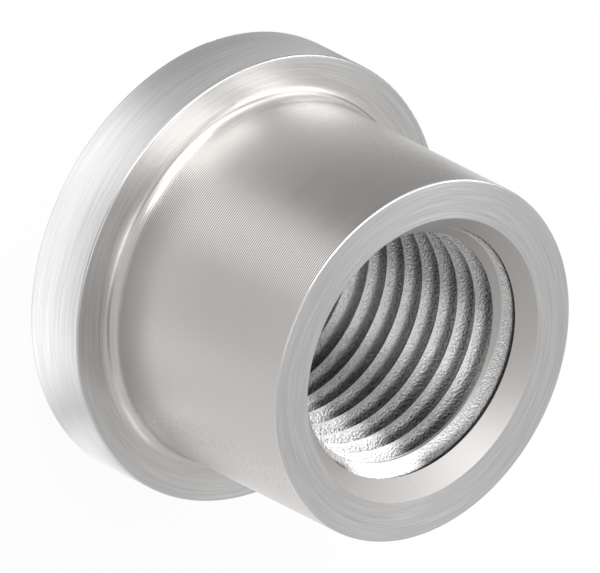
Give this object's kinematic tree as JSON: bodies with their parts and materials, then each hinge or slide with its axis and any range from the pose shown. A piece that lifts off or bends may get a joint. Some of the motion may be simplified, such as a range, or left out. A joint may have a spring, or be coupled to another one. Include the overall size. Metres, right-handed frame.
{
  "type": "threaded sleeve",
  "caption": "Stainless steel sleeve with a flange at one end and a metric internal thread right through, countersunk at the mouth.",
  "frame": {"origin": "centre of the flange's back face, on the bore's axis", "axes": "+Z along the bore from the flange to the mouth; the thread is right-handed about +Z"},
  "size_m": [0.0344, 0.0344, 0.024],
  "materials": {
    "stainless_steel": "fine turned satin"
  },
  "bodies": {
    "root": {"threaded_sleeve": "stainless_steel"}
  },
  "joints": []
}
